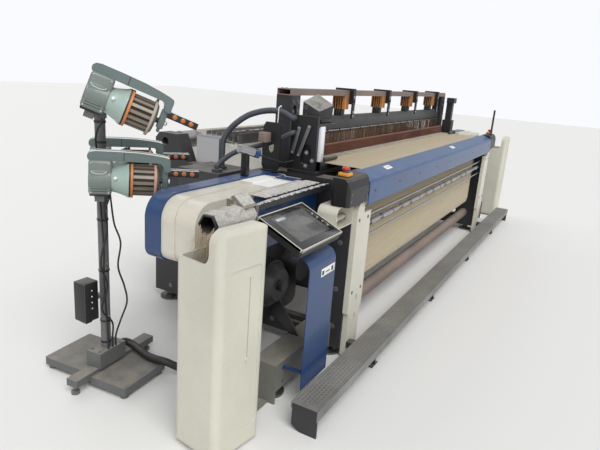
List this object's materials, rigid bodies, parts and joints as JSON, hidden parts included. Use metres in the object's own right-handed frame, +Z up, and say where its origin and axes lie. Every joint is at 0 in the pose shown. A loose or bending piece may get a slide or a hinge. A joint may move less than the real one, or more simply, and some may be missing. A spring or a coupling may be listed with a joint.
{
  "type": "power loom",
  "caption": "Wide rapier power loom with heald frames, reed, warp and cloth rollers, drive housings, terminal, waste bins, foot step and a stand of weft feeders.",
  "frame": {"origin": "on the floor, midway between the two ends and midway front to back", "axes": "+X along the weft from the feeder side to the far side, +Y from the weaver's side to the warp side, +Z up"},
  "size_m": [6.3363, 2.06, 1.6812],
  "materials": {
    "frame_black": "dusty satin black paint",
    "tie_grey": "dusty grey paint",
    "base_grey": "grey paint with dust",
    "foot_steel": "worn steel",
    "step_grey": "worn grey paint",
    "cream_paint": "satin cream paint",
    "blue_paint": "satin blue paint",
    "bright_steel": "ground steel",
    "reed_steel": "steel wires with a rusty bloom",
    "heald_alu": "dull aluminium",
    "beam_alu": "satin aluminium",
    "cloth": "woven cloth",
    "yarn": "wound yarn",
    "guide_wood": "waxed wood",
    "clamp_black": "matte black",
    "cap_grey": "dusty dark grey",
    "bin_plastic": "moulded cream plastic",
    "tube_grey": "grey under lint",
    "hose_black": "dusty rubber",
    "terminal_black": "black with a glossy panel",
    "switch_yellow": "yellow plastic",
    "button_red": "red plastic",
    "feeder_grey": "grey green plastic",
    "disc_orange": "orange plastic",
    "stand_grey": "grey paint"
  },
  "bodies": {
    "frame": {"side_frame_left": "frame_black", "side_frame_right": "frame_black", "cross_beams": "tie_grey", "base_beams": "base_grey", "levelling_feet": "foot_steel", "step_board": "step_grey", "step_brackets": "frame_black", "breast_beam": "frame_black", "breast_cover": "blue_paint", "corner_caps": "frame_black", "front_columns": "cream_paint", "cloth": "cloth", "temple_bar": "frame_black", "guard_rods": "bright_steel", "top_rail": "tie_grey", "frame_guides": "clamp_black", "guide_blocks": "guide_wood", "uprights": "frame_black", "housing_backs": "blue_paint", "housing_covers": "cream_paint", "housing_caps": "blue_paint", "drive_case": "frame_black", "side_cowl": "cream_paint", "waste_bin_left": "bin_plastic", "waste_tube": "tube_grey", "selvedge_bar": "frame_black", "cable_guard": "blue_paint", "estop_bases": "switch_yellow", "tower_left": "frame_black", "presenter_cap": "cap_grey", "tower_right": "frame_black", "air_hoses": "hose_black", "waste_bin_right": "bin_plastic", "warp_sheet": "yarn", "warp_stop_motion": "bright_steel", "shed_drive": "frame_black", "control_cabinet": "cream_paint", "terminal_arm": "cream_paint", "feeder_stand": "stand_grey", "weft_feeders": "feeder_grey", "feeder_conduit": "hose_black"},
    "sley": {"sley_beam": "frame_black", "reed": "reed_steel"},
    "heald_1": {"heald_frame_1": "heald_alu"},
    "heald_2": {"heald_frame_2": "heald_alu"},
    "heald_3": {"heald_frame_3": "heald_alu"},
    "heald_4": {"heald_frame_4": "heald_alu"},
    "warp_roll": {"warp_beam": "beam_alu", "warp_yarn": "yarn"},
    "backrest": {"backrest_roller": "bright_steel"},
    "take_up": {"take_up_roller": "hose_black"},
    "cloth_winder": {"cloth_roll": "cloth"},
    "operator_terminal": {"terminal": "terminal_black"},
    "left_stop": {"estop_button_left": "button_red"},
    "right_stop": {"estop_button_right": "button_red"},
    "side_stop": {"stop_button": "button_red"},
    "fingers": {"presenter_fingers": "bright_steel"},
    "disc_1": {"winding_disc_1": "disc_orange"},
    "disc_2": {"winding_disc_2": "disc_orange"},
    "disc_3": {"winding_disc_3": "disc_orange"}
  },
  "joints": [
    {"name": "sley_rock", "type": "hinge", "parent": "frame", "child": "sley", "pos_m": [0, -0.27, 0.48], "axis": [1, 0, 0], "range_deg": [0, 6.5]},
    {"name": "heald_lift_1", "type": "slide", "parent": "frame", "child": "heald_1", "axis": [0, 0, 1], "range_m": [-0.04, 0.04]},
    {"name": "heald_lift_2", "type": "slide", "parent": "frame", "child": "heald_2", "axis": [0, 0, 1], "range_m": [-0.04, 0.04]},
    {"name": "heald_lift_3", "type": "slide", "parent": "frame", "child": "heald_3", "axis": [0, 0, 1], "range_m": [-0.04, 0.04]},
    {"name": "heald_lift_4", "type": "slide", "parent": "frame", "child": "heald_4", "axis": [0, 0, 1], "range_m": [-0.04, 0.04]},
    {"name": "warp_let_off", "type": "hinge", "parent": "frame", "child": "warp_roll", "pos_m": [0, 0.64, 0.52], "axis": [1, 0, 0], "continuous": true},
    {"name": "backrest_turn", "type": "hinge", "parent": "frame", "child": "backrest", "pos_m": [0, 0.69, 1.185], "axis": [1, 0, 0], "continuous": true},
    {"name": "take_up_turn", "type": "hinge", "parent": "frame", "child": "take_up", "pos_m": [0, -0.608, 0.86], "axis": [1, 0, 0], "continuous": true},
    {"name": "cloth_winding", "type": "hinge", "parent": "frame", "child": "cloth_winder", "pos_m": [0, -0.602, 0.43], "axis": [1, 0, 0], "continuous": true},
    {"name": "terminal_tilt", "type": "hinge", "parent": "frame", "child": "operator_terminal", "pos_m": [-2.514, -0.71449, 0.91748], "axis": [1, 0, 0], "range_deg": [-20, 30]},
    {"name": "left_stop_push", "type": "slide", "parent": "frame", "child": "left_stop", "axis": [0, 0, -1], "range_m": [0, 0.006], "stiffness_N_per_m": 800, "springref_m": -0.003},
    {"name": "right_stop_push", "type": "slide", "parent": "frame", "child": "right_stop", "axis": [0, 0, -1], "range_m": [0, 0.006], "stiffness_N_per_m": 800, "springref_m": -0.003},
    {"name": "side_stop_push", "type": "slide", "parent": "frame", "child": "side_stop", "axis": [0, 0, -1], "range_m": [0, 0.006], "stiffness_N_per_m": 800, "springref_m": -0.003},
    {"name": "finger_swing", "type": "hinge", "parent": "frame", "child": "fingers", "pos_m": [0, -0.39, 1.458], "axis": [1, 0, 0], "range_deg": [-8, 8]},
    {"name": "disc_turn_1", "type": "hinge", "parent": "frame", "child": "disc_1", "pos_m": [-2.95, -0.01, 1.495], "axis": [0.6828, -0.6367, -0.3584], "continuous": true},
    {"name": "disc_turn_2", "type": "hinge", "parent": "frame", "child": "disc_2", "pos_m": [-2.905, 0.022, 1.142], "axis": [0.7309, -0.6816, -0.0349], "continuous": true},
    {"name": "disc_turn_3", "type": "hinge", "parent": "frame", "child": "disc_3", "pos_m": [-2.675, 0.284, 1.162], "axis": [0.7314, -0.682, 0], "continuous": true}
  ],
  "couplings": [
    {"joint": "cloth_winding", "follows": "take_up_turn", "ratio": 0.92857}
  ]
}
